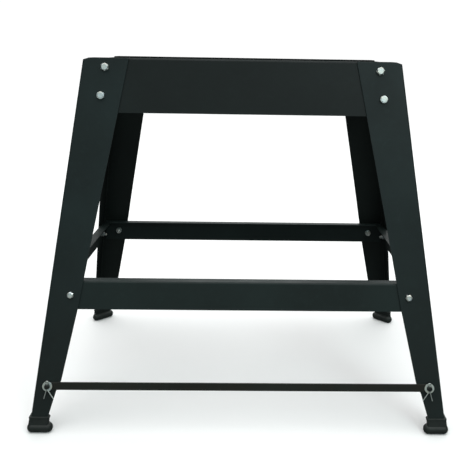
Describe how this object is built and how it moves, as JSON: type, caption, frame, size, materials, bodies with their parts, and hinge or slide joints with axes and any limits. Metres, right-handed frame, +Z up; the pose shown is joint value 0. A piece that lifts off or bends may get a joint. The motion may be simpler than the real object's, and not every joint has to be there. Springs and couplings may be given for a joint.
{
  "type": "jointer stand",
  "caption": "Open stand for a jointer: splayed folded-steel legs bolted to top rails and stretchers, rubber feet, and a flat front bar held by pins with split pins.",
  "frame": {"origin": "centre of the floor under the stand", "axes": "+X across the width to the right, -Y to the front, where the flat bar is, +Z up"},
  "size_m": [0.7144, 0.5184, 0.6196],
  "materials": {
    "black_paint": "satin powder coat",
    "rubber": "matte",
    "zinc": "bright zinc plate",
    "black_pin": "black oxide",
    "bright_wire": "bright wire"
  },
  "bodies": {
    "stand": {"leg_front_left": "black_paint", "leg_front_right": "black_paint", "leg_rear_left": "black_paint", "leg_rear_right": "black_paint", "rail_front": "black_paint", "rail_rear": "black_paint", "rail_left": "black_paint", "rail_right": "black_paint", "stretcher_front": "black_paint", "stretcher_rear": "black_paint", "stretcher_left": "black_paint", "stretcher_right": "black_paint", "front_bar": "black_paint", "foot_front_left": "rubber", "foot_front_right": "rubber", "foot_rear_left": "rubber", "foot_rear_right": "rubber", "rail_bolts_front": "zinc", "rail_washers_front": "zinc", "rail_nuts_front": "zinc", "stretcher_bolts_front": "zinc", "stretcher_washers_front": "zinc", "stretcher_nuts_front": "zinc", "rail_bolts_rear": "zinc", "rail_washers_rear": "zinc", "rail_nuts_rear": "zinc", "stretcher_bolts_rear": "zinc", "stretcher_washers_rear": "zinc", "stretcher_nuts_rear": "zinc", "rail_bolts_left": "zinc", "rail_washers_left": "zinc", "rail_nuts_left": "zinc", "stretcher_bolts_left": "zinc", "stretcher_washers_left": "zinc", "stretcher_nuts_left": "zinc", "rail_bolts_right": "zinc", "rail_washers_right": "zinc", "rail_nuts_right": "zinc", "stretcher_bolts_right": "zinc", "stretcher_washers_right": "zinc", "stretcher_nuts_right": "zinc"},
    "left_pin": {"pin_left": "black_pin", "pin_washer_left": "zinc", "split_pin_left": "bright_wire"},
    "right_pin": {"pin_right": "black_pin", "pin_washer_right": "zinc", "split_pin_right": "bright_wire"}
  },
  "joints": [
    {"name": "left_pin_turn", "type": "hinge", "parent": "stand", "child": "left_pin", "pos_m": [-0.3217, -0.24085, 0.0784], "axis": [0, -0.9809, 0.1946], "continuous": true},
    {"name": "right_pin_turn", "type": "hinge", "parent": "stand", "child": "right_pin", "pos_m": [0.3217, -0.24085, 0.0784], "axis": [0, -0.9809, 0.1946], "continuous": true}
  ]
}
